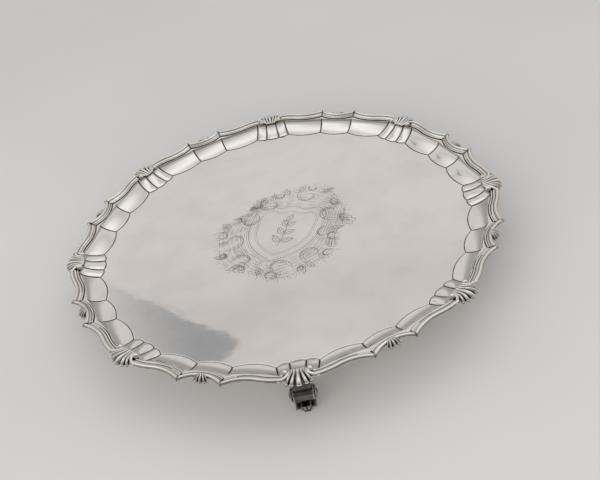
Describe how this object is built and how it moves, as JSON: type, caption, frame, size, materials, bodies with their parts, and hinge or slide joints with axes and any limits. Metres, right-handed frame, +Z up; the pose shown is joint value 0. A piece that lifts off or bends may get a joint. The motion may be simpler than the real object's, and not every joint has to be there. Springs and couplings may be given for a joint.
{
  "type": "footed salver",
  "caption": "Shaped circular silver salver with a moulded pie-crust border of bracket curves, fan shells, coved panels round a flat well, and cast scroll feet.",
  "frame": {"origin": "on the table plane, at the centre of the salver, below the middle of the well", "axes": "+Z up out of the well; -Y points at the first large shell and the foot below it; the border repeats every 45 degrees about +Z"},
  "size_m": [0.3302, 0.3302, 0.0409],
  "materials": {
    "silver_sheet": "satin-polished sterling silver with faint cloudy fire-scale and fine scratches",
    "silver_border": "polished cast silver, darkened in the grooves",
    "silver_shell": "polished cast silver ribs with dark oxidised grooves",
    "silver_foot": "cast silver, dull and tarnished brown in the hollows"
  },
  "bodies": {
    "root": {"plate": "silver_sheet", "rim_section_1": "silver_border", "rim_section_2": "silver_border", "rim_section_3": "silver_border", "rim_section_4": "silver_border", "rim_section_5": "silver_border", "rim_section_6": "silver_border", "rim_section_7": "silver_border", "rim_section_8": "silver_border", "large_shell_1": "silver_shell", "large_shell_2": "silver_shell", "large_shell_3": "silver_shell", "large_shell_4": "silver_shell", "large_shell_5": "silver_shell", "large_shell_6": "silver_shell", "large_shell_7": "silver_shell", "large_shell_8": "silver_shell", "small_shell_1": "silver_shell", "small_shell_2": "silver_shell", "small_shell_3": "silver_shell", "small_shell_4": "silver_shell", "small_shell_5": "silver_shell", "small_shell_6": "silver_shell", "small_shell_7": "silver_shell", "small_shell_8": "silver_shell", "foot_1": "silver_foot", "foot_2": "silver_foot", "foot_3": "silver_foot", "foot_4": "silver_foot"}
  },
  "joints": []
}
